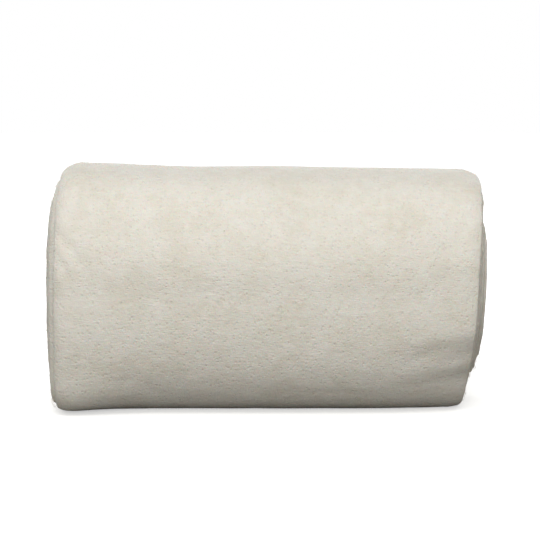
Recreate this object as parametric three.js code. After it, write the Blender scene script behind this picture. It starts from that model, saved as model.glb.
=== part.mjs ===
// A bed-sized cut of needle-punched cotton quilt batting, folded in six across its width and wound
// into a soft oval roll. The winding is one solid: each turn is the packed stack of six layers, and
// its rounded edges part the turns by a spiral groove on both ends. The last turn ends in a step low
// on the back. Millimetres, +Z up. The roll lies along X on a flat spot, its plain front faces -Y,
// and the origin is under its middle, on the surface that it lies on.
import * as THREE from "three";
import { ParametricGeometry } from "three/addons/geometries/ParametricGeometry.js";
import { mergeGeometries, mergeVertices } from "three/addons/utils/BufferGeometryUtils.js";

// The cut piece and its fold
const CUT_WIDTH = 2286;
const PANELS = 6;
const PACKED_LAYER = 2.1;
const FOLD_NOSE = 1.5; // how far a soft fold puffs out past its fold line
const PANEL = CUT_WIDTH / PANELS;
const STACK = PANELS * PACKED_LAYER;

// The winding, counted in turns from the slit at the core (0) to the loose end (TURNS)
const TURNS = 7.75;
const LOOSE_END = THREE.MathUtils.degToRad(300); // from straight down, over the front and the top
const CORE_HALF_HEIGHT = 18.3;
const CORE_HALF_DEPTH = 4.5;
const CORE_ROUNDNESS = 2;
const OUTER_ROUNDNESS = 2.6; // 2 is an ellipse, and more is squarer
const SINK = 3; // how far the underside is pressed flat
const SINK_FADE = 4; // how quickly the pressing fades towards the core
const TAPER = 0.016; // the left end is this share fatter than the middle, and the right end thinner

// The ends
const WANDER = 3.5; // how far the turns slip to and fro along the roll
const WANDER_TURNS = 4.6;
const WANDER_START = 2.2;
const SHOULDER_LENGTH = 18; // along the roll, where the outer turns bend over its ends
const DROP_FADE = 2; // how quickly the ends' rounding fades towards the core

// How far the outer turn's end drops back from the core's, and how far it bends inwards there
const ENDS = {
  left: { top: { drop: 8.5, bend: 14 }, bottom: { drop: 8, bend: 4 } },
  right: { top: { drop: 0.5, bend: 10 }, bottom: { drop: 15.5, bend: 5 } },
};
const GROOVE_DEPTH = 9;
const CORNER_DEPTH = 4; // where the end of the outer turn rounds over into its face
const GROOVE_CLOSES = 1 / 12; // turns from the loose end in which the groove runs out

// Across a turn's end: share of the stack, and how far back from the fold's crest
const RIDGE = [
  { share: 0.0, back: GROOVE_DEPTH },
  { share: 0.1, back: 3.2 },
  { share: 0.3, back: 0.5 },
  { share: 0.7, back: 0.5 },
  { share: 0.9, back: 3.2 },
  { share: 1.0, back: GROOVE_DEPTH },
];

// Along the outer face: share of the half length, from the middle to an end
const HALF_STATIONS = [0, 0.28, 0.56, 0.76, 0.85, 0.91, 0.95, 0.98, 1];

// Soft hollows of the outer face: place along X and angle from straight down, half sizes, depth.
// A swelling has a negative depth.
const HOLLOW_FADE = 2; // how quickly they fade towards the core
const HOLLOWS = [
  { x: -160, angle: 118, length: 26, girth: 34, depth: 2.2 },
  { x: -70, angle: 62, length: 60, girth: 30, depth: 1.6 },
  { x: 20, angle: 128, length: 75, girth: 26, depth: 1.8 },
  { x: 95, angle: 84, length: 48, girth: 36, depth: 1.5 },
  { x: 160, angle: 104, length: 24, girth: 30, depth: 2.2 },
  { x: -72, angle: 184, length: 52, girth: 30, depth: 2.2 },
  { x: 70, angle: 222, length: 70, girth: 30, depth: 2.0 },
  { x: -110, angle: 236, length: 55, girth: 30, depth: 2.0 },
  { x: 10, angle: 262, length: 90, girth: 34, depth: 2.4 },
  { x: 0, angle: 102, length: 190, girth: 13, depth: -2.6 },
  { x: -178, angle: 42, length: 46, girth: 16, depth: -10 },
  { x: 190, angle: 46, length: 50, girth: 25, depth: 13 },
];

const STEPS_PER_TURN = 36;
const TURN = 2 * Math.PI;
const ROUND_OFF = 1e-9; // of a turn
const WELD = 1e-3; // points this near to each other are one

// The angle of a place in the winding, from straight down, over the front and the top.
const angleAt = (turns) => LOOSE_END - (TURNS - turns) * TURN;

// The outermost turn count that lies at an angle.
function outermostAt(angle) {
  const behind = (LOOSE_END - angle) / TURN;
  return TURNS - (behind - Math.floor(behind + ROUND_OFF));
}

const sideName = (x) => (x < 0 ? "left" : "right");

// The drop or the bend of an end of the outer turn, at an angle.
function atEnd(side, name, angle) {
  const { top, bottom } = ENDS[side];
  return THREE.MathUtils.lerp(top[name], bottom[name], (1 + Math.cos(angle)) / 2);
}

const slipAt = (turns) => WANDER * Math.sin((TURN * turns) / WANDER_TURNS + WANDER_START);

// The distance of a turn's crest from the middle of the roll.
function crestAt(turns, side) {
  const slip = side === "left" ? -slipAt(turns) : slipAt(turns);
  const drop = atEnd(side, "drop", angleAt(turns)) * (turns / TURNS) ** DROP_FADE;
  return PANEL / 2 + FOLD_NOSE + slip - drop;
}

// How far the outer turn has bent in at x.
function bendAt(x, angle) {
  const side = sideName(x);
  const end = PANEL / 2 - atEnd(side, "drop", angle);
  const along = THREE.MathUtils.clamp((Math.abs(x) - end + SHOULDER_LENGTH) / SHOULDER_LENGTH, 0, 1);
  return atEnd(side, "bend", angle) * (1 - Math.sqrt(1 - along * along));
}

// How deep the hollows are at a place on the outer face.
function hollowAt(x, angle) {
  const depths = HOLLOWS.map((h) => {
    const beyond = THREE.MathUtils.radToDeg(angle) - h.angle;
    const around = THREE.MathUtils.euclideanModulo(beyond + 180, 360) - 180;
    return h.depth * Math.exp(-(((x - h.x) / h.length) ** 2) - (around / h.girth) ** 2);
  });
  return depths.reduce((sum, depth) => sum + depth, 0);
}

const signedPower = (base, power) => Math.sign(base) * Math.abs(base) ** power;

// The winding's oval at a turn count, before it is pressed flat: depth and height from its middle.
function ovalAt(turns, angle, x) {
  const share = turns / TURNS;
  const bent = turns - (bendAt(x, angle) / STACK) * share * share;
  const hollow = hollowAt(x, angle) * share ** HOLLOW_FADE;
  const power = 2 / THREE.MathUtils.lerp(CORE_ROUNDNESS, OUTER_ROUNDNESS, share);
  return {
    y: -(CORE_HALF_DEPTH + STACK * bent - hollow) * signedPower(Math.sin(angle), power),
    z: -(CORE_HALF_HEIGHT + STACK * bent - hollow) * signedPower(Math.cos(angle), power),
  };
}

const FRONT = Math.PI / 2;
const BACK = -FRONT;
const MIDDLE_HEIGHT = -ovalAt(outermostAt(0), 0, 0).z - SINK;
const MIDDLE_DEPTH = -(ovalAt(outermostAt(FRONT), FRONT, 0).y + ovalAt(outermostAt(BACK), BACK, 0).y) / 2;

// A point of the roll, from its turn count, angle and place along X.
function pointAt(turns, angle, x, target) {
  const outermost = outermostAt(angle);
  const { y, z } = ovalAt(turns, angle, x);
  const below = Math.max(0, -(ovalAt(outermost, angle, x).z + MIDDLE_HEIGHT));
  const height = z + MIDDLE_HEIGHT + below * (turns / outermost) ** SINK_FADE;
  const scale = 1 - (TAPER * x) / (PANEL / 2);
  return target.set(x, (y + MIDDLE_DEPTH) * scale, height * scale);
}

// How far from the middle the groove outside a turn lies, or its corner where it is the last turn.
function outerEdgeAt(turns, side) {
  const crest = crestAt(turns, side);
  if (turns <= TURNS - 1) return Math.min(crest, crestAt(turns + 1, side)) - GROOVE_DEPTH;
  const closed = THREE.MathUtils.clamp((turns - TURNS + 1) / GROOVE_CLOSES, 0, 1);
  return crest - THREE.MathUtils.lerp(GROOVE_DEPTH, CORNER_DEPTH, closed);
}

// How far from the middle a turn's end lies, at a row of the ridge.
function endAt(turns, row, side) {
  if (row === 0) return outerEdgeAt(Math.max(0, turns - 1), side);
  if (row === RIDGE.length - 1) return outerEdgeAt(turns, side);
  const grown = Math.min(1, turns);
  const back = THREE.MathUtils.lerp(GROOVE_DEPTH, RIDGE[row].back, grown);
  return THREE.MathUtils.lerp(outerEdgeAt(0, side), crestAt(turns, side) - back, grown);
}

// The turn count at a row of the ridge.
const turnsInRidge = (turns, row) =>
  THREE.MathUtils.lerp(Math.max(0, turns - 1), turns, RIDGE[row].share);

// The places along X of the stations between the two ends of a row.
function stationsBetween(turns, row) {
  const left = HALF_STATIONS.slice(1).map((share) => -share * endAt(turns, row, "left"));
  const right = HALF_STATIONS.map((share) => share * endAt(turns, row, "right"));
  return [...left.reverse(), ...right];
}

// A patch of the surface on a grid of whole numbers.
function patch(columns, rows, place) {
  const onGrid = (u, v, target) => place(Math.round(u * columns), Math.round(v * rows), target);
  return new ParametricGeometry(onGrid, columns, rows);
}

const LAST_ROW = RIDGE.length - 1;
const LAST_STATION = 2 * (HALF_STATIONS.length - 1);

// The spiral face of an end, from the core out to the loose end.
function endFace(side) {
  const columns = TURNS * STEPS_PER_TURN;
  const sign = side === "left" ? -1 : 1;
  return patch(columns, LAST_ROW, (column, step, target) => {
    const turns = column / STEPS_PER_TURN;
    const row = side === "left" ? LAST_ROW - step : step;
    return pointAt(turnsInRidge(turns, row), angleAt(turns), sign * endAt(turns, row, side), target);
  });
}

// The slit in the middle of an end.
function coreFace(side) {
  const rungs = STEPS_PER_TURN / 2;
  const x = (side === "left" ? -1 : 1) * outerEdgeAt(0, side);
  return patch(1, rungs, (column, rung, target) => {
    const frontFirst = side === "left" ? column === 1 : column === 0;
    const angle = (Math.PI * rung) / rungs;
    return pointAt(0, frontFirst ? angle : -angle, x, target);
  });
}

// The face of the last turn, all round the roll.
function outerFace() {
  return patch(STEPS_PER_TURN, LAST_STATION, (column, station, target) => {
    const turns = TURNS - column / STEPS_PER_TURN;
    return pointAt(turns, angleAt(turns), stationsBetween(turns, LAST_ROW)[station], target);
  });
}

// The step where the cut ends of the six layers stop, low on the back.
function looseEndFace() {
  return patch(LAST_ROW, LAST_STATION, (row, station, target) => {
    const x = stationsBetween(TURNS, row)[station];
    return pointAt(turnsInRidge(TURNS, row), LOOSE_END, x, target);
  });
}

// One closed body from patches that meet at their edges.
function closedBody(patches) {
  const bare = patches.map((geometry) => geometry.deleteAttribute("normal").deleteAttribute("uv"));
  const welded = mergeVertices(mergeGeometries(bare), WELD);
  const corners = welded.index.array;
  const kept = [];
  for (let i = 0; i < corners.length; i += 3) {
    const [a, b, c] = corners.slice(i, i + 3);
    if (a !== b && b !== c && c !== a) kept.push(a, b, c);
  }
  welded.setIndex(kept);
  welded.computeVertexNormals();
  return welded;
}

const cotton = new THREE.MeshStandardMaterial({ color: "#e4ddcc", roughness: 0.95, metalness: 0 });
const roll = new THREE.Mesh(
  closedBody([
    endFace("left"),
    endFace("right"),
    coreFace("left"),
    coreFace("right"),
    outerFace(),
    looseEndFace(),
  ]),
  cotton,
);
roll.name = "batting_roll";

const part = new THREE.Group();
part.add(roll);

export default part;
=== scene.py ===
"""A roll of natural cotton quilt batting: one needle-punched sheet, folded in six and wound up.

Metres, +Z up. The roll lies along X on its flat spot, and its plain front faces -Y. The sheet is
drawn flat first, at the size it was cut to. Each of its points is then folded and wound.
"""

import math
import random

import bmesh
import bpy
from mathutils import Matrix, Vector, noise


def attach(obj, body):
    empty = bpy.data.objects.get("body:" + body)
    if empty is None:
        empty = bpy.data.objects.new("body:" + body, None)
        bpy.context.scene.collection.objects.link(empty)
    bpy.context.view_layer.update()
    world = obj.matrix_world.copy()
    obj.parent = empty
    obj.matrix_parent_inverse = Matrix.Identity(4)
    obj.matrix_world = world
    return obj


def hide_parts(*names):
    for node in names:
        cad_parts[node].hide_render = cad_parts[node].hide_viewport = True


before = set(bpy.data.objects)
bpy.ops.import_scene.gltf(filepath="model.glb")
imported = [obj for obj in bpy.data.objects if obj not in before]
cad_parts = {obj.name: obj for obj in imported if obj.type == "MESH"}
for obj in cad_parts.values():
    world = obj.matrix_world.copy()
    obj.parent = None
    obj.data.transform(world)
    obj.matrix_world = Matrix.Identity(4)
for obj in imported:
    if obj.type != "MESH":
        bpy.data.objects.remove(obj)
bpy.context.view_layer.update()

MM = 0.001
TAU = 2 * math.pi

# The cut piece and its fold, as in the part's source
CUT_WIDTH = 2286 * MM
CUT_LENGTH = 2743 * MM
PANELS = 6
PACKED_LAYER = 2.1 * MM
CLOTH = 1.9 * MM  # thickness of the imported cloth, which leaves the layers a little apart
FOLD_NOSE = 1.5 * MM  # how far the puffed folds stand out past the panels
PANEL = CUT_WIDTH / PANELS
STACK = PANELS * PACKED_LAYER  # thickness of the folded cloth, which each turn adds

# The winding, counted in turns from the slit at the core (0) to the loose end (TURNS)
TURNS = 7.75
LOOSE_END = math.radians(300)  # from straight down, over the front and the top
CORE_HALF_HEIGHT = 18.3 * MM
CORE_HALF_DEPTH = 4.5 * MM
CORE_ROUNDNESS = 2  # 2 is an ellipse, and more is squarer
OUTER_ROUNDNESS = 2.6
SINK = 3 * MM  # how far the underside is pressed flat
SINK_FADE = 4  # how quickly the pressing fades towards the core
TAPER = 0.016  # share by which the left end is fuller, and the right one slimmer
ROUND_OFF = 1e-9  # slack where turn counts are compared

# The ends of the roll. The turns slip sideways, and the outer turn drops back and bends in.
WANDER = 3.5 * MM  # greatest slip of a turn
WANDER_TURNS = 4.6  # turns in which the slip comes round again
WANDER_START = 2.2  # where in its wave the slip starts, in radians
SHOULDER_LENGTH = 18 * MM
LIP_RADIUS = 5.5 * MM  # rounds the turns just under the outer one where they stand out past it
LIP_FADE = 3  # turns over which that fades towards the core
DROP_FADE = 2  # how quickly the drop fades towards the core
ENDS = {
    "left": {
        "top": {"drop": 8.5 * MM, "bend": 14 * MM},
        "bottom": {"drop": 8 * MM, "bend": 4 * MM},
    },
    "right": {
        "top": {"drop": 0.5 * MM, "bend": 10 * MM},
        "bottom": {"drop": 15.5 * MM, "bend": 5 * MM},
    },
}

# How far back from a turn's crest its folds lie, in pairs: share of the stack, distance
RIDGE = [
    (0.0, 6.0 * MM),
    (0.1, 3.2 * MM),
    (0.3, 0.5 * MM),
    (0.7, 0.5 * MM),
    (0.9, 3.2 * MM),
    (1.0, 6.0 * MM),
]

# Soft hollows of the outer face, in millimetres and degrees: place along X, angle from straight
# down, half length along X, half girth as an angle, depth. A swelling has a negative depth.
HOLLOW_FADE = 2  # how quickly they fade towards the core
HOLLOWS = [
    {"x": -160, "angle": 118, "length": 26, "girth": 34, "depth": 2.2},
    {"x": -70, "angle": 62, "length": 60, "girth": 30, "depth": 1.6},
    {"x": 20, "angle": 128, "length": 75, "girth": 26, "depth": 1.8},
    {"x": 95, "angle": 84, "length": 48, "girth": 36, "depth": 1.5},
    {"x": 160, "angle": 104, "length": 24, "girth": 30, "depth": 2.2},
    {"x": -72, "angle": 184, "length": 52, "girth": 30, "depth": 2.2},
    {"x": 70, "angle": 222, "length": 70, "girth": 30, "depth": 2.0},
    {"x": -110, "angle": 236, "length": 55, "girth": 30, "depth": 2.0},
    {"x": 10, "angle": 262, "length": 90, "girth": 34, "depth": 2.4},
    {"x": 0, "angle": 102, "length": 190, "girth": 13, "depth": -2.6},
    {"x": -178, "angle": 42, "length": 46, "girth": 16, "depth": -10},
    {"x": 190, "angle": 46, "length": 50, "girth": 25, "depth": 13},
]

# Lesser hollows that the solid leaves out: the lower right corner turns in under a soft edge,
# the lower left one is a little fuller, and the turns are rounded over at the front of the left rim.
LESSER_HOLLOWS = [
    {"x": 188, "angle": 68, "length": 66, "girth": 9, "depth": 4.4},
    {"x": 188, "angle": 50, "length": 66, "girth": 10, "depth": 3.6},
    {"x": -186, "angle": 28, "length": 40, "girth": 12, "depth": -1.8},
    {"x": -196, "angle": 92, "length": 10, "girth": 62, "depth": 11.0},
]

# The main creases of the outer layer, in millimetres and degrees: place along X, angle from straight
# down, half length, half width, slant from the roll's length, depth. A ridge has a negative depth.
CREASES = [
    {"x": -172, "angle": 114, "length": 14, "width": 3.2, "slant": -52, "depth": 1.5},
    {"x": -164, "angle": 108, "length": 16, "width": 3.4, "slant": -46, "depth": 1.3},
    {"x": -174, "angle": 103, "length": 13, "width": 3.2, "slant": -58, "depth": 1.4},
    {"x": -152, "angle": 97, "length": 20, "width": 4.5, "slant": -64, "depth": 1.0},
    {"x": 158, "angle": 104, "length": 24, "width": 4.0, "slant": 4, "depth": -0.9},
    {"x": 164, "angle": 97, "length": 22, "width": 5.0, "slant": 8, "depth": 0.9},
    {"x": 160, "angle": 79, "length": 34, "width": 6.0, "slant": 12, "depth": -1.2},
    {"x": 180, "angle": 69, "length": 20, "width": 3.5, "slant": 20, "depth": 0.9},
    {"x": 128, "angle": 66, "length": 30, "width": 5.0, "slant": 34, "depth": 0.8},
    {"x": 168, "angle": 121, "length": 16, "width": 4.0, "slant": 62, "depth": 0.8},
    {"x": 172, "angle": 74, "length": 18, "width": 4.5, "slant": -78, "depth": 0.9},
    {"x": -120, "angle": 55, "length": 13, "width": 4.5, "slant": 58, "depth": 1.3},
    {"x": -98, "angle": 47, "length": 15, "width": 4.5, "slant": -50, "depth": 1.2},
    {"x": 60, "angle": 44, "length": 44, "width": 6.5, "slant": -7, "depth": 0.8},
    {"x": -20, "angle": 70, "length": 40, "width": 8.0, "slant": 18, "depth": 0.6},
    {"x": -60, "angle": 168, "length": 46, "width": 7.0, "slant": 6, "depth": 0.8},
    {"x": 105, "angle": 176, "length": 38, "width": 6.0, "slant": -10, "depth": 0.8},
    {"x": -165, "angle": 205, "length": 18, "width": 4.0, "slant": 70, "depth": 0.9},
    {"x": 166, "angle": 226, "length": 19, "width": 4.0, "slant": -66, "depth": 0.9},
    {"x": -40, "angle": 240, "length": 60, "width": 7.0, "slant": 5, "depth": 0.9},
    {"x": 90, "angle": 268, "length": 50, "width": 6.0, "slant": -6, "depth": 0.9},
    {"x": -130, "angle": 276, "length": 30, "width": 5.0, "slant": 14, "depth": 0.8},
]
CREASE_REACH = 0.5  # turns under the outer face in which the creases die out
GIRTH_RADIUS = 105 * MM  # turns an angle round the outer face into a distance

# Unevenness of the felt and of its folds. Each is a soft noise, with a height and a size of its
# waves, or else a count of them.
LUMP_SIZE = 22 * MM
LUMP_HEIGHT = 0.35 * MM
LUMPS_PER_TURN = 3  # outwards, so that a turn's lumps don't repeat those of the one under it
SMALL_LUMPS = 2.3  # how much finer the small lumps are than the large
SMALL_LUMP_SHARE = 0.5
FOLD_WANDER = 1.6 * MM
FOLD_WANDERS_PER_TURN = 2.3
FOLD_RUFFLE = 0.9 * MM  # a finer wander on top of that
RUFFLE_SIZE = 14 * MM
LAYER_WANDER = 0.05  # of the space between two layers
LAYER_WANDERS_ACROSS = 3
LAYER_WANDERS_PER_TURN = 5
CORE_GAP = 0.06  # turns between the slit and the first layer

# How far apart their rows are taken from the noise, so that none repeats another
LEVELS_APART = 7
SIDES_APART = 50
RUFFLE_APART = 3
CUTS_APART = 4
LAYERS_APART = 2

# How far each layer stops short at the loose end, from the innermost, and how ragged the cut is
CUT_SHORT = [1.5, 0.2, 2.6, 0.9, 3.4, 1.8]
CUT_RAGGED = 0.8 * MM
CUT_RAGS_ACROSS = 9
CUT_REACH = 0.12  # turns before the loose end in which that takes effect
THIN_EDGE = 0.5  # share of the thickness that is left at a cut edge
SMOOTH_ANGLE = math.radians(50)  # only the edges of the cut are sharper, and stay crisp

# The grid of the flat sheet. Shares run along a panel, from end to end of the roll.
PANEL_SHARES = [-1, -0.96, -0.9, -0.6, 0.6, 0.9, 0.96, 1]
OUTER_END_SHARES = [1, 0.985, 0.965, 0.94, 0.91, 0.875]
OUTER_MIDDLE = 0.83  # the share up to which the outer layer's middle columns are even
OUTER_MIDDLE_STEPS = 21
LOOP_STEPS = 6
INNER_ROWS_PER_TURN = 32
OUTER_TURNS = 1.1  # the turns up to the loose end that have finer rows
OUTER_ROWS = 165
OUTER_CUTS = 2  # more columns of the outer layer where it shows


# The winding


def lerp(a, b, share):
    """The value a share of the way from a to b."""
    return a + (b - a) * share


def clamp(value, low=0.0, high=1.0):
    """The value, kept between two limits."""
    return max(low, min(high, value))


def signed_power(base, power):
    """A power that keeps the sign of its base."""
    return math.copysign(abs(base) ** power, base)


def angle_at(turns):
    """The angle of a place in the winding, from straight down, over the front and the top."""
    return LOOSE_END - (TURNS - turns) * TAU


def outermost_at(angle):
    """The outermost turn count that lies at an angle."""
    behind = (LOOSE_END - angle) / TAU
    return TURNS - (behind - math.floor(behind + ROUND_OFF))


def side_name(x):
    """The end of the roll that a place along it is nearer to."""
    return "left" if x < 0 else "right"


def at_end(side, name, angle):
    """The drop or the bend of an end of the outer turn, at an angle."""
    end = ENDS[side]
    return lerp(end["top"][name], end["bottom"][name], (1 + math.cos(angle)) / 2)


def bend_at(x, angle):
    """How far the outer turn has bent in at x."""
    side = side_name(x)
    end = PANEL / 2 - at_end(side, "drop", angle)
    along = clamp((abs(x) - end + SHOULDER_LENGTH) / SHOULDER_LENGTH)
    return at_end(side, "bend", angle) * (1 - math.sqrt(1 - along * along))


def lip_at(x, angle, turns):
    """How far the turns that stand out past the outer one have rounded in at x."""
    side = side_name(x)
    beyond = abs(x) - PANEL / 2 + at_end(side, "drop", angle)
    along = clamp(beyond / LIP_RADIUS)
    near = clamp(1 - (outermost_at(angle) - turns - 1) / LIP_FADE)
    return LIP_RADIUS * (1 - math.sqrt(1 - along * along)) * near


def degrees_beyond(place, angle):
    """How far round an angle lies from a place in degrees, the shorter way."""
    return (math.degrees(angle) - place + 180) % 360 - 180


def hollow_at(x, angle):
    """How deep the hollows are at a place on the outer face."""
    depth = 0.0
    for h in HOLLOWS + LESSER_HOLLOWS:
        along = (x / MM - h["x"]) / h["length"]
        around = degrees_beyond(h["angle"], angle) / h["girth"]
        depth += h["depth"] * MM * math.exp(-along * along - around * around)
    return depth


def crease_at(x, angle):
    """How deep the creases are at a place on the outer face."""
    depth = 0.0
    for c in CREASES:
        along_roll = x - c["x"] * MM
        around_roll = math.radians(degrees_beyond(c["angle"], angle)) * GIRTH_RADIUS
        slant = math.radians(c["slant"])
        along = (along_roll * math.cos(slant) + around_roll * math.sin(slant)) / (c["length"] * MM)
        across = (around_roll * math.cos(slant) - along_roll * math.sin(slant)) / (c["width"] * MM)
        depth += c["depth"] * MM * math.exp(-along * along - across * across)
    return depth


def lump_at(x, angle, turns):
    """How far the felt is lumped inwards at a place."""
    around = angle * GIRTH_RADIUS
    place = Vector((x / LUMP_SIZE, around / LUMP_SIZE, LUMPS_PER_TURN * turns))
    fine = place * SMALL_LUMPS
    return LUMP_HEIGHT * (noise.noise(place) + SMALL_LUMP_SHARE * noise.noise(fine))


def oval_at(turns, angle, x):
    """The winding's oval at a turn count, before it is pressed flat: depth and height."""
    share = turns / TURNS
    bent = turns - (bend_at(x, angle) * share * share + lip_at(x, angle, turns)) / STACK
    near = clamp(1 - (outermost_at(angle) - turns) / CREASE_REACH)
    worn = hollow_at(x, angle) * share**HOLLOW_FADE
    if near > 0:
        worn += (crease_at(x, angle) + lump_at(x, angle, turns)) * near * near
    power = 2 / lerp(CORE_ROUNDNESS, OUTER_ROUNDNESS, share)
    depth = -(CORE_HALF_DEPTH + STACK * bent - worn) * signed_power(math.sin(angle), power)
    height = -(CORE_HALF_HEIGHT + STACK * bent - worn) * signed_power(math.cos(angle), power)
    return depth, height


def plain_oval(angle):
    """The oval of the outermost turn at the middle of the roll, without creases."""
    turns = outermost_at(angle)
    reach = STACK * turns - hollow_at(0, angle)
    power = 2 / lerp(CORE_ROUNDNESS, OUTER_ROUNDNESS, turns / TURNS)
    depth = -(CORE_HALF_DEPTH + reach) * signed_power(math.sin(angle), power)
    height = -(CORE_HALF_HEIGHT + reach) * signed_power(math.cos(angle), power)
    return depth, height


FRONT = math.pi / 2
BACK = -FRONT
MIDDLE_HEIGHT = -plain_oval(0)[1] - SINK
MIDDLE_DEPTH = -(plain_oval(FRONT)[0] + plain_oval(BACK)[0]) / 2


def point_at(turns, angle, x):
    """A point of the roll, from its turn count, angle and place along X."""
    outermost = outermost_at(angle)
    depth, height = oval_at(turns, angle, x)
    below = max(0.0, -(oval_at(outermost, angle, x)[1] + MIDDLE_HEIGHT))
    height += MIDDLE_HEIGHT + below * (turns / outermost) ** SINK_FADE
    scale = 1 - TAPER * x / (PANEL / 2)
    return Vector((x, (depth + MIDDLE_DEPTH) * scale, height * scale))


def crest_at(turns, side):
    """The distance of a turn's crest from the middle of the roll."""
    slip = WANDER * math.sin(TAU * turns / WANDER_TURNS + WANDER_START)
    drop = at_end(side, "drop", angle_at(turns)) * (turns / TURNS) ** DROP_FADE
    return PANEL / 2 + FOLD_NOSE + (slip if side == "right" else -slip) - drop


# The sheet


def between(table, share):
    """The value of a table of pairs at a share."""
    for (low, first), (high, second) in zip(table, table[1:]):
        if share <= high:
            return lerp(first, second, (share - low) / (high - low))
    return table[-1][1]


def fold_level(panel, side):
    """The level in the stack of the fold, or of the free edge, that a panel has at an end."""
    if side == "right":
        return (2 * (panel // 2) + 1) / PANELS
    if panel in (0, PANELS - 1):
        return (panel + 0.5) / PANELS
    return 2 * ((panel + 1) // 2) / PANELS


def end_at(turns, panel, side):
    """How far from the middle of the roll the flat part of a panel ends."""
    level = fold_level(panel, side)
    row = LEVELS_APART * level + (SIDES_APART if side == "left" else 0)
    wander = noise.noise(Vector((turns * FOLD_WANDERS_PER_TURN, row, 0)))
    around = STACK * turns * turns * math.pi  # about the length of the winding up to here
    ruffle = noise.noise(Vector((around / RUFFLE_SIZE, row, RUFFLE_APART)))
    crest = crest_at(turns, side) - between(RIDGE, level)
    return crest + FOLD_WANDER * wander + FOLD_RUFFLE * ruffle - PACKED_LAYER / 2 - CLOTH / 2


LOOP_RADIUS = PACKED_LAYER / 2
HALF_LOOP = math.pi * LOOP_RADIUS / 2  # cloth on each side of a fold line that its loop takes


def flat_columns():
    """The places across the flat sheet's width of its columns."""
    ends = OUTER_END_SHARES
    steps = range(OUTER_MIDDLE_STEPS + 1)
    middle = [lerp(OUTER_MIDDLE, -OUTER_MIDDLE, step / OUTER_MIDDLE_STEPS) for step in steps]
    outer_shares = [*ends, *middle, *[-share for share in reversed(ends)]]
    columns = []
    for panel in range(PANELS):
        shares = sorted(outer_shares if panel == PANELS - 1 else PANEL_SHARES)
        first = panel * PANEL + (HALF_LOOP if panel > 0 else 0)
        last = (panel + 1) * PANEL - (HALF_LOOP if panel < PANELS - 1 else 0)
        columns += [lerp(first, last, (share + 1) / 2) for share in shares]
        if panel < PANELS - 1:
            columns += [last + 2 * HALF_LOOP * step / LOOP_STEPS for step in range(1, LOOP_STEPS)]
    return columns


def winding_table():
    """Turn count and length of the winding's middle line up to there, for each row of the sheet."""
    inner_turns = TURNS - OUTER_TURNS
    inner_rows = round(inner_turns * INNER_ROWS_PER_TURN)
    counts = [inner_turns * row / inner_rows for row in range(inner_rows)]
    counts += [inner_turns + OUTER_TURNS * row / OUTER_ROWS for row in range(OUTER_ROWS + 1)]
    table = []
    length = 0.0
    before = None
    for turns in counts:
        place = point_at((max(0, turns - 1) + turns) / 2, angle_at(turns), 0)
        if before is not None:
            length += (place - before).length
        table.append((length, turns))
        before = place
    share = CUT_LENGTH / length
    return [(length * share, turns) for length, turns in table]


WINDING = winding_table()


def turns_for(flat_length):
    """The turn count of a place along the flat sheet."""
    low, high = 0, len(WINDING) - 1
    while high - low > 1:
        middle = (low + high) // 2
        if WINDING[middle][0] <= flat_length:
            low = middle
        else:
            high = middle
    (first, before), (last, after) = WINDING[low], WINDING[high]
    return lerp(before, after, (flat_length - first) / (last - first))


def folded(across):
    """Where a place across the flat sheet comes to lie: panel, share along it, level, loop height."""
    panel = min(PANELS - 1, int(across / PANEL))
    along = across - panel * PANEL
    rightwards = 1 if panel % 2 == 0 else -1
    if panel < PANELS - 1 and along > PANEL - HALF_LOOP:
        bow = (along - PANEL + HALF_LOOP) / (2 * HALF_LOOP) * math.pi
        return panel, rightwards, (panel + 1 - math.cos(bow) / 2) / PANELS, math.sin(bow)
    if panel > 0 and along < HALF_LOOP:
        bow = (along + HALF_LOOP) / (2 * HALF_LOOP) * math.pi
        return panel, -rightwards, (panel - math.cos(bow) / 2) / PANELS, math.sin(bow)
    first = HALF_LOOP if panel > 0 else 0
    last = PANEL - (HALF_LOOP if panel < PANELS - 1 else 0)
    share = lerp(-1, 1, (along - first) / (last - first)) * rightwards
    return panel, share, (panel + 0.5) / PANELS, 0.0


def wound(across, flat_length):
    """Where a point of the flat sheet comes to lie in the roll."""
    panel, share, level, bow = folded(across)
    nominal = turns_for(flat_length)
    start = 1 - level + CORE_GAP
    turns = lerp(start, TURNS, nominal / TURNS)
    near_cut = clamp(1 - (TURNS - nominal) / CUT_REACH)
    ragged = CUT_RAGGED * (1 + noise.noise(Vector((share * CUT_RAGS_ACROSS, CUTS_APART * panel, 0))))
    layer = clamp(level * PANELS - 0.5, 0, PANELS - 1)
    short = between(list(enumerate(CUT_SHORT)), layer) * MM + ragged
    turns -= short / (TAU * GIRTH_RADIUS) * near_cut * near_cut
    side = side_name(share)
    x = share * end_at(turns, panel, side) + math.copysign(LOOP_RADIUS * bow, share)
    row = LAYERS_APART * panel
    place = Vector((share * LAYER_WANDERS_ACROSS, turns * LAYER_WANDERS_PER_TURN, row))
    wander = noise.noise(place) * LAYER_WANDER / PANELS
    return point_at(turns - 1 + level + wander, angle_at(turns), x)


def piece_from(mesh, name):
    """Makes a bmesh an object of the scene."""
    data = bpy.data.meshes.new(name)
    mesh.to_mesh(data)
    mesh.free()
    piece = bpy.data.objects.new(name, data)
    bpy.context.scene.collection.objects.link(piece)
    return piece


def in_outer_layer(vertex):
    """True for a point of the flat sheet that lies in the outer layer of the last turn."""
    in_last_turn = turns_for(vertex.co.y) >= TURNS - OUTER_TURNS - ROUND_OFF
    return in_last_turn and vertex.co.x > (PANELS - 1) * PANEL


def is_crossways(edge):
    """True for an edge of the flat sheet that runs across its width."""
    first, last = edge.verts
    return first.co.y == last.co.y


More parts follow.
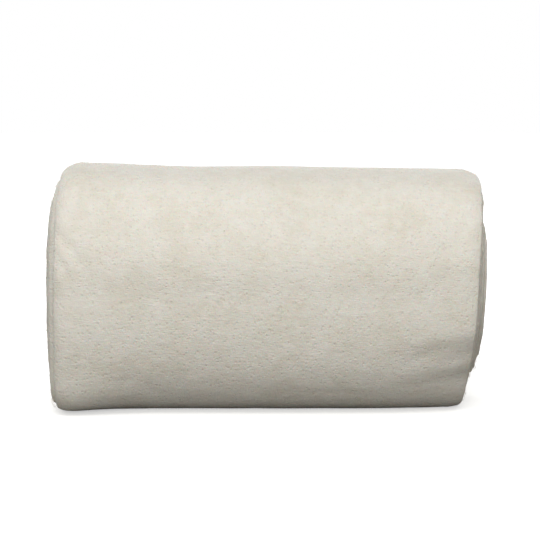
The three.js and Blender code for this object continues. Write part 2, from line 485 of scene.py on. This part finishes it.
def flat_sheet(name):
    """The cut sheet lying flat, with more columns where it will be the roll's outer layer."""
    columns = flat_columns()
    mesh = bmesh.new()
    grid = [[mesh.verts.new((across, length, 0)) for across in columns] for length, _ in WINDING]
    for near, far in zip(grid, grid[1:]):
        for i in range(len(columns) - 1):
            mesh.faces.new((near[i], near[i + 1], far[i + 1], far[i]))
    outer = {vertex for vertex in mesh.verts if in_outer_layer(vertex)}
    crossways = [edge for edge in mesh.edges if is_crossways(edge) and outer.issuperset(edge.verts)]
    bmesh.ops.subdivide_edges(mesh, edges=crossways, cuts=OUTER_CUTS)
    flat_map = mesh.loops.layers.uv.new("flat_metres")
    for face in mesh.faces:
        for loop in face.loops:
            loop[flat_map].uv = loop.vert.co.xy
    return piece_from(mesh, name)


def only(piece):
    """Selects one piece and nothing else."""
    bpy.ops.object.select_all(action="DESELECT")
    piece.select_set(True)
    bpy.context.view_layer.objects.active = piece


def apply_solidify(piece, thickness, edge_share):
    """Gives the sheet its thickness, thinner at its cut edges."""
    edges = set()
    counts = {}
    for polygon in piece.data.polygons:
        for key in polygon.edge_keys:
            counts[key] = counts.get(key, 0) + 1
    for key, count in counts.items():
        if count == 1:
            edges.update(key)
    full = piece.vertex_groups.new(name="thickness")
    full.add([v.index for v in piece.data.vertices if v.index not in edges], 1.0, "REPLACE")
    full.add(sorted(edges), edge_share, "REPLACE")
    solidify = piece.modifiers.new("thickness", "SOLIDIFY")
    solidify.thickness = thickness
    solidify.offset = 0
    solidify.vertex_group = full.name
    only(piece)
    bpy.ops.object.modifier_apply(modifier=solidify.name)
    piece.vertex_groups.clear()


def make_sheet():
    """The whole sheet of batting, folded and wound."""
    piece = flat_sheet("wound_batting_sheet")
    for vertex in piece.data.vertices:
        vertex.co = wound(vertex.co.x, vertex.co.y)
    apply_solidify(piece, CLOTH, THIN_EDGE)
    only(piece)
    bpy.ops.object.shade_smooth_by_angle(angle=SMOOTH_ANGLE)
    return piece


# Loose fibres

FIBRE_SEED = 11
FIBRE_LENGTH = (4 * MM, 12 * MM)
FIBRE_RISE = (0.3 * MM, 2.0 * MM)  # how far a fibre's arch stands off the cloth
FIBRE_RADIUS = 0.12 * MM  # drawn coarser than real fibres, which are 0.01 mm, so that they show
FIBRE_TIP = 0.4  # share of the radius that is left at the tips
FIBRE_STEPS = 4
FIBRE_SIDES = 3
FIBRE_SINK = 0.4 * MM  # how deep its two ends are buried
FIBRE_CLEARANCE = 1 * MM  # least height above the floor

FIBRES_ON_FACE = 3000
FACE_LAY = 0.9  # spread of their lay from the roll's length, in radians
FACE_CURL = 1.2 * MM  # spread of how far they bow sideways
FACE_EDGE = 3 * MM  # how far they start from the ends of the face
FACE_SEAM = 0.004  # share of the girth beside the loose end that has none

FIBRES_ON_ENDS = 2600
END_SHORTER = 0.7  # how much shorter they are than those on the face
END_CURL = 1.0 * MM
END_MIDDLE = 0.02  # share of an end, round the slit, that has none
END_LEAST_TURNS = 0.2
FOLD_LEVELS = {"left": (1 / 12, 1 / 3, 2 / 3, 11 / 12), "right": (1 / 6, 1 / 2, 5 / 6)}


def outer_place(angle, x):
    """A point of the outermost layer's face, and the direction out of it."""
    turns = outermost_at(angle) - 0.5 / PANELS + CLOTH / 2 / STACK
    step = 1e-3
    place = point_at(turns, angle, x)
    round_roll = point_at(turns, angle + step, x) - point_at(turns, angle - step, x)
    along_roll = point_at(turns, angle, x + step) - point_at(turns, angle, x - step)
    return place, round_roll.cross(along_roll).normalized()


def add_fibre(mesh, start, along, outwards, length, rise, curl):
    """A thin closed tube that arches off the cloth and comes back to it, if it clears the floor."""
    sideways = along.cross(outwards).normalized()
    path = []
    for step in range(FIBRE_STEPS + 1):
        share = step / FIBRE_STEPS
        arch = math.sin(math.pi * share)
        middle = start + along * (length * share) + sideways * (curl * arch)
        path.append((middle + outwards * (rise * arch - FIBRE_SINK * (1 - arch)), arch))
    if min(middle.z for middle, _ in path) < FIBRE_CLEARANCE:
        return
    rings = []
    for middle, arch in path:
        radius = FIBRE_RADIUS * lerp(FIBRE_TIP, 1, arch)
        ring = []
        for side in range(FIBRE_SIDES):
            turn = TAU * side / FIBRE_SIDES
            spoke = sideways * math.cos(turn) + outwards * math.sin(turn)
            ring.append(mesh.verts.new(middle + spoke * radius))
        rings.append(ring)
    for near, far in zip(rings, rings[1:]):
        for side in range(FIBRE_SIDES):
            following = (side + 1) % FIBRE_SIDES
            mesh.faces.new((near[side], near[following], far[following], far[side]))
    mesh.faces.new(list(reversed(rings[0])))
    mesh.faces.new(rings[-1])


def add_face_fibre(mesh, chance):
    """A fibre somewhere on the outer face, roughly along the roll."""
    angle = LOOSE_END - TAU * chance.uniform(FACE_SEAM, 1 - FACE_SEAM)
    side, sign = chance.choice((("left", -1), ("right", 1)))
    x = sign * (crest_at(outermost_at(angle), side) - FACE_EDGE) * chance.random()
    place, outwards = outer_place(angle, x)
    lay = chance.gauss(0, FACE_LAY)
    rightwards = Vector((1, 0, 0))
    around = outwards.cross(rightwards).normalized()
    along = rightwards * math.cos(lay) + around * math.sin(lay)
    along = (along - outwards * along.dot(outwards)).normalized()
    length = chance.uniform(*FIBRE_LENGTH)
    rise = chance.uniform(*FIBRE_RISE)
    add_fibre(mesh, place, along, outwards, length, rise, curl=chance.gauss(0, FACE_CURL))


def add_end_fibre(mesh, chance):
    """A fibre somewhere on a fold at an end of the roll, lying any way round."""
    turns = TURNS * math.sqrt(chance.uniform(END_MIDDLE, 1))
    side, sign = chance.choice((("left", -1), ("right", 1)))
    level = chance.choice(FOLD_LEVELS[side])
    x = sign * (crest_at(turns, side) - between(RIDGE, level))
    place = point_at(max(END_LEAST_TURNS, turns - 1 + level), angle_at(turns), x)
    lay = chance.uniform(0, TAU)
    along = Vector((0, math.cos(lay), math.sin(lay)))
    length = chance.uniform(*FIBRE_LENGTH) * END_SHORTER
    rise = chance.uniform(*FIBRE_RISE)
    outwards = Vector((sign, 0, 0))
    add_fibre(mesh, place, along, outwards, length, rise, curl=chance.gauss(0, END_CURL))


def make_loose_fibres():
    """Stray cotton fibres that stand off the face and the folded ends of the roll."""
    chance = random.Random(FIBRE_SEED)
    mesh = bmesh.new()
    for _ in range(FIBRES_ON_FACE):
        add_face_fibre(mesh, chance)
    for _ in range(FIBRES_ON_ENDS):
        add_end_fibre(mesh, chance)
    bmesh.ops.recalc_face_normals(mesh, faces=mesh.faces)
    return piece_from(mesh, "loose_cotton_fibres")


# Materials


def linear(hex_colour):
    """An sRGB hex colour as linear RGBA."""
    parts = [int(hex_colour[i : i + 2], 16) / 255 for i in (1, 3, 5)]
    bent = [c / 12.92 if c <= 0.04045 else ((c + 0.055) / 1.055) ** 2.4 for c in parts]
    return (*bent, 1.0)


# Numbers of the colour sockets of a Mix node, whose names aren't unique
MIX_SHARE = 0
MIX_UNDER = 6
MIX_OVER = 7
MIX_RESULT = 2


def add_node(tree, kind, settings=None, inputs=None):
    """Adds a node, sets its properties, and gives its inputs values or links."""
    node = tree.nodes.new(kind)
    for name, value in (settings or {}).items():
        setattr(node, name, value)
    for name, value in (inputs or {}).items():
        if isinstance(value, bpy.types.NodeSocket):
            tree.links.new(value, node.inputs[name])
        else:
            node.inputs[name].default_value = value
    return node


def new_material(name):
    """An empty node material and its tree."""
    material = bpy.data.materials.new(name)
    material.use_nodes = True
    material.node_tree.nodes.clear()
    return material, material.node_tree


def web_clouds(tree, place, size, detail, roughness):
    """Clouds where the carded web is laid thicker or thinner."""
    clouds = add_node(tree, "ShaderNodeTexNoise", {}, {
        "Vector": place, "Scale": 1 / size, "Detail": detail, "Roughness": roughness,
    })
    return clouds.outputs["Fac"]


def fibre_bundles(tree, place, width, stretch, turn, detail, roughness, distortion):
    """Bundles of fibres that wander one way across the sheet. Real fibres are 0.02 mm thick and
    25 mm long. Only their bundles show, and these are drawn coarser than life."""
    laid = add_node(tree, "ShaderNodeMapping", {}, {
        "Vector": place, "Scale": stretch, "Rotation": (0.0, 0.0, turn),
    })
    bundles = add_node(tree, "ShaderNodeTexNoise", {}, {
        "Vector": laid.outputs["Vector"], "Scale": 1 / width,
        "Detail": detail, "Roughness": roughness, "Distortion": distortion,
    })
    return bundles.outputs["Fac"]


def needle_marks(tree, place):
    """Needle marks, about 1 mm apart in life, and drawn 3.4 mm apart so that they show."""
    needles = add_node(tree, "ShaderNodeTexVoronoi", {}, {
        "Vector": place, "Scale": 1 / (3.4 * MM), "Randomness": 0.75,
    })
    marks = add_node(tree, "ShaderNodeMapRange", {"interpolation_type": "SMOOTHSTEP"}, {
        "Value": needles.outputs["Distance"],
        "From Min": 0.12, "From Max": 0.42, "To Min": 1.0, "To Max": 0.0,
    })
    return marks.outputs["Result"]


def seed_specks(tree, place):
    """Specks of seed coat, up to 1.3 mm wide, in 8 % of the cells of a 9 mm grid."""
    cells = add_node(tree, "ShaderNodeTexVoronoi", {}, {
        "Vector": place, "Scale": 1 / (9 * MM), "Randomness": 1.0,
    })
    chance = add_node(tree, "ShaderNodeSeparateColor", {}, {"Color": cells.outputs["Color"]})
    chosen = add_node(tree, "ShaderNodeMath", {"operation": "LESS_THAN"}, {
        0: chance.outputs["Red"], 1: 0.08,
    })
    reach = add_node(tree, "ShaderNodeMath", {"operation": "MULTIPLY"}, {
        0: chance.outputs["Green"], 1: 0.07,
    })
    inside = add_node(tree, "ShaderNodeMath", {"operation": "LESS_THAN"}, {
        0: cells.outputs["Distance"], 1: reach.outputs[0],
    })
    specks = add_node(tree, "ShaderNodeMath", {"operation": "MULTIPLY"}, {
        0: chosen.outputs[0], 1: inside.outputs[0],
    })
    return specks.outputs[0]


def needle_punched_cotton():
    """Unbleached cotton, carded into a web and needle-punched into a felt. It is quite matt and
    looks soft and milky, a little cloudy where the web is thicker, with a lay of pale fibres,
    shallow needle marks all over, tinted darker as painted shade in their dents, and a few tan
    specks of seed coat."""
    material, tree = new_material("needle_punched_natural_cotton")
    object_place = add_node(tree, "ShaderNodeTexCoord").outputs["Object"]
    flat_place = add_node(tree, "ShaderNodeUVMap", {"uv_map": "flat_metres"}).outputs["UV"]
    cloud = web_clouds(tree, object_place, size=30 * MM, detail=2.0, roughness=0.55)
    mottle = web_clouds(tree, object_place, size=8 * MM, detail=3.0, roughness=0.6)
    fibres = fibre_bundles(tree, flat_place, width=1.3 * MM, stretch=(0.16, 1.0, 1.0), turn=0.0,
                           detail=4.0, roughness=0.65, distortion=1.4)
    cross_fibres = fibre_bundles(tree, flat_place, width=1.6 * MM, stretch=(1.0, 0.3, 1.0), turn=0.5,
                                 detail=3.0, roughness=0.55, distortion=1.0)
    needle_dent_and_shade = needle_marks(tree, flat_place)
    speck = seed_specks(tree, flat_place)

    # Each tint lies over the ones before it, from nothing at "low" to "most" at "high".
    colour = linear("#ebe6da")
    tints = [
        {"pattern": cloud, "low": 0.35, "high": 0.7, "most": 1.0, "tint": "#e5dfd0"},
        {"pattern": mottle, "low": 0.4, "high": 0.75, "most": 0.4, "tint": "#f5f1e8"},
        {"pattern": fibres, "low": 0.5, "high": 0.8, "most": 0.55, "tint": "#fbf8f0"},
        # the needle marks' darker tint is painted shade in their pressed-in dents
        {"pattern": needle_dent_and_shade, "low": 0.0, "high": 1.0, "most": 0.14, "tint": "#c8c0ae"},
        {"pattern": speck, "low": 0.0, "high": 1.0, "most": 0.7, "tint": "#b39c70"},
    ]
    for row in tints:
        share = add_node(tree, "ShaderNodeMapRange", {"interpolation_type": "SMOOTHSTEP"}, {
            "Value": row["pattern"], "From Min": row["low"], "From Max": row["high"],
            "To Min": 0.0, "To Max": row["most"],
        }).outputs["Result"]
        mix = add_node(tree, "ShaderNodeMix", {"data_type": "RGBA"}, {
            MIX_SHARE: share, MIX_UNDER: colour, MIX_OVER: linear(row["tint"]),
        })
        colour = mix.outputs[MIX_RESULT]

    # Fibres and mottle stand up, and needle marks are pressed in.
    height = 0.0
    for pattern, share in ((fibres, 0.6), (cross_fibres, 0.5), (mottle, 0.9), (needle_dent_and_shade, -0.35)):
        relief = add_node(tree, "ShaderNodeMath", {"operation": "MULTIPLY_ADD"}, {
            0: pattern, 1: share, 2: height,
        })
        height = relief.outputs[0]
    bump = add_node(tree, "ShaderNodeBump", {}, {
        "Strength": 0.75, "Distance": 1.1 * MM, "Height": height,
    })

    shader = add_node(tree, "ShaderNodeBsdfPrincipled", {}, {
        "Base Color": colour, "Normal": bump.outputs["Normal"],
        "Roughness": 0.95, "Specular IOR Level": 0.2,
        "Sheen Weight": 0.25, "Sheen Roughness": 0.6,
        "Subsurface Weight": 0.15, "Subsurface Scale": 2 * MM,
    })
    add_node(tree, "ShaderNodeOutputMaterial", {}, {"Surface": shader.outputs["BSDF"]})
    return material


def stray_cotton():
    """Single unbleached cotton fibres, straight from the card. They let light through, so they look
    paler than the felt that they stand off, and they run from cream to a pale tan."""
    material, tree = new_material("stray_natural_cotton")
    place = add_node(tree, "ShaderNodeTexCoord").outputs["Object"]
    ripeness = add_node(tree, "ShaderNodeTexNoise", {}, {
        "Vector": place, "Scale": 1 / (6 * MM), "Detail": 1.0,
    })
    colour = add_node(tree, "ShaderNodeMix", {"data_type": "RGBA"}, {
        MIX_SHARE: ripeness.outputs["Fac"], MIX_UNDER: linear("#fbf8f0"), MIX_OVER: linear("#ddd1b6"),
    })
    shader = add_node(tree, "ShaderNodeBsdfPrincipled", {}, {
        "Base Color": colour.outputs[MIX_RESULT], "Roughness": 0.9, "Specular IOR Level": 0.2,
    })
    add_node(tree, "ShaderNodeOutputMaterial", {}, {"Surface": shader.outputs["BSDF"]})
    return material


# The studio

PHOTO_PIXELS = 540
CAMERA_DISTANCE = 1.5
CAMERA_ELEVATION = math.radians(7)
MM_PER_PIXEL = 0.905  # at the middle of the roll
ROLL_MIDDLE = Vector((0, 0, 0.106))
ROLL_MIDDLE_PIXEL = (265.75, 285.5)
SENSOR = 36.0
STUDIO_SIZE = 16
TABLE_BELOW = 0.4 * MM  # how far the grey table lies under the white floor
FLOOR_SHADE_REACH = (0.22, 0.6)  # from the roll's middle: full painted shade, and none
FLOOR_GLOW = 0.5  # the floor's painted glow where the painted shade is full
AIR_LIGHT = 0.24  # light from all round


def make_camera():
    """The camera at the photograph's angle, aimed so that the roll lies where it does there."""
    data = bpy.data.cameras.new("camera")
    data.sensor_width = SENSOR
    data.lens = CAMERA_DISTANCE / (PHOTO_PIXELS * MM_PER_PIXEL * MM) * SENSOR
    data.clip_start = 0.05
    data.clip_end = 50
    camera = bpy.data.objects.new("camera", data)
    back = Vector((0, -math.cos(CAMERA_ELEVATION), math.sin(CAMERA_ELEVATION)))
    camera.location = ROLL_MIDDLE + back * CAMERA_DISTANCE
    right_of_roll = (PHOTO_PIXELS / 2 - ROLL_MIDDLE_PIXEL[0]) * MM_PER_PIXEL * MM
    above_roll = (ROLL_MIDDLE_PIXEL[1] - PHOTO_PIXELS / 2) * MM_PER_PIXEL * MM
    aim = ROLL_MIDDLE + Vector((right_of_roll, 0, above_roll))
    camera.rotation_mode = "QUATERNION"
    camera.rotation_quaternion = (aim - camera.location).to_track_quat("-Z", "Y")
    bpy.context.scene.collection.objects.link(camera)
    bpy.context.scene.camera = camera


def seen_by(piece, rays):
    """Lets only these kinds of ray see a piece of the studio."""
    for kind in ("camera", "diffuse", "glossy", "transmission", "volume_scatter", "shadow"):
        setattr(piece, "visible_" + kind, kind in rays)


def studio_material(name, colour, glow):
    """Plain matt paper. Its glow is light of its own, from none at 0 to pure white at 1."""
    material, tree = new_material(name)
    shader = add_node(tree, "ShaderNodeBsdfPrincipled", {}, {
        "Base Color": linear(colour), "Roughness": 1.0, "Specular IOR Level": 0.0,
        "Emission Color": (1, 1, 1, 1), "Emission Strength": glow,
    })
    add_node(tree, "ShaderNodeOutputMaterial", {}, {"Surface": shader.outputs["BSDF"]})
    return material, tree, shader


def floor_with_painted_glow():
    """White paper that catches a soft shadow near the roll. Its glow grows away from the roll: painted
    light that makes it pure white further off, and painted shade near the roll.
    """
    material, tree, shader = studio_material("white_paper_painted_glow", "#f2f2f0", 0.0)
    place = add_node(tree, "ShaderNodeTexCoord").outputs["Object"]
    away = add_node(tree, "ShaderNodeVectorMath", {"operation": "LENGTH"}, {"Vector": place})
    glow = add_node(tree, "ShaderNodeMapRange", {"interpolation_type": "SMOOTHSTEP"}, {
        "Value": away.outputs["Value"],
        "From Min": FLOOR_SHADE_REACH[0], "From Max": FLOOR_SHADE_REACH[1],
        "To Min": FLOOR_GLOW, "To Max": 1.0,
    })
    tree.links.new(glow.outputs["Result"], shader.inputs["Emission Strength"])
    return material


def make_studio():
    """A white floor and surround for the eye, and a grey table under the floor to shade the roll."""
    bpy.ops.object.select_all(action="DESELECT")
    bpy.ops.mesh.primitive_plane_add(size=STUDIO_SIZE, location=(0, 0, 0))
    floor = bpy.context.active_object
    floor.name = "studio_floor"
    floor.data.materials.append(floor_with_painted_glow())
    seen_by(floor, ("camera",))
    bpy.ops.mesh.primitive_plane_add(size=STUDIO_SIZE, location=(0, 0, -TABLE_BELOW))
    table = bpy.context.active_object
    table.name = "studio_table"
    table.data.materials.append(studio_material("grey_paper", "#8c8a86", 0.0)[0])
    seen_by(table, ("diffuse", "shadow", "glossy"))
    bpy.ops.mesh.primitive_uv_sphere_add(segments=48, ring_count=24, radius=STUDIO_SIZE / 2)
    surround = bpy.context.active_object
    surround.name = "studio_surround"
    surround.data.materials.append(studio_material("white_surround", "#000000", 1.0)[0])
    seen_by(surround, ("camera",))


def area_light(name, azimuth, elevation, distance, size, power):
    """A soft box that faces the roll. Azimuth 0 is in front of it, and less is to the left."""
    data = bpy.data.lights.new(name, "AREA")
    data.shape = "RECTANGLE"
    data.size, data.size_y = size
    data.energy = power
    light = bpy.data.objects.new(name, data)
    turn, rise = math.radians(azimuth), math.radians(elevation)
    away = Vector((math.sin(turn) * math.cos(rise), -math.cos(turn) * math.cos(rise), math.sin(rise)))
    light.location = ROLL_MIDDLE + away * distance
    light.rotation_mode = "QUATERNION"
    light.rotation_quaternion = (-away).to_track_quat("-Z", "Y")
    bpy.context.scene.collection.objects.link(light)


def make_lights():
    """Two soft boxes one above the other in front, a weak one overhead and one low behind each end."""
    area_light("front_box", azimuth=-2, elevation=20, distance=2.0, size=(0.7, 0.7), power=13)
    area_light("upper_box", azimuth=-4, elevation=50, distance=2.0, size=(0.9, 0.7), power=15)
    area_light("top_box", azimuth=0, elevation=80, distance=2.0, size=(1.3, 0.9), power=3)
    area_light("left_back_box", azimuth=-148, elevation=14, distance=2.2, size=(1.0, 0.8), power=19)
    area_light("right_back_box", azimuth=148, elevation=14, distance=2.2, size=(1.0, 0.8), power=19)
    world = bpy.data.worlds.new("studio_air")
    world.use_nodes = True
    background = world.node_tree.nodes["Background"]
    background.inputs["Color"].default_value = (1, 1, 1, 1)
    background.inputs["Strength"].default_value = AIR_LIGHT
    bpy.context.scene.world = world
    bpy.context.scene.view_settings.view_transform = "Standard"


make_camera()
make_studio()
make_lights()

sheet = make_sheet()
sheet.data.materials.append(needle_punched_cotton())
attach(sheet, "root")
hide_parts("batting_roll")

fibres = make_loose_fibres()
fibres.data.materials.append(stray_cotton())
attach(fibres, "root")
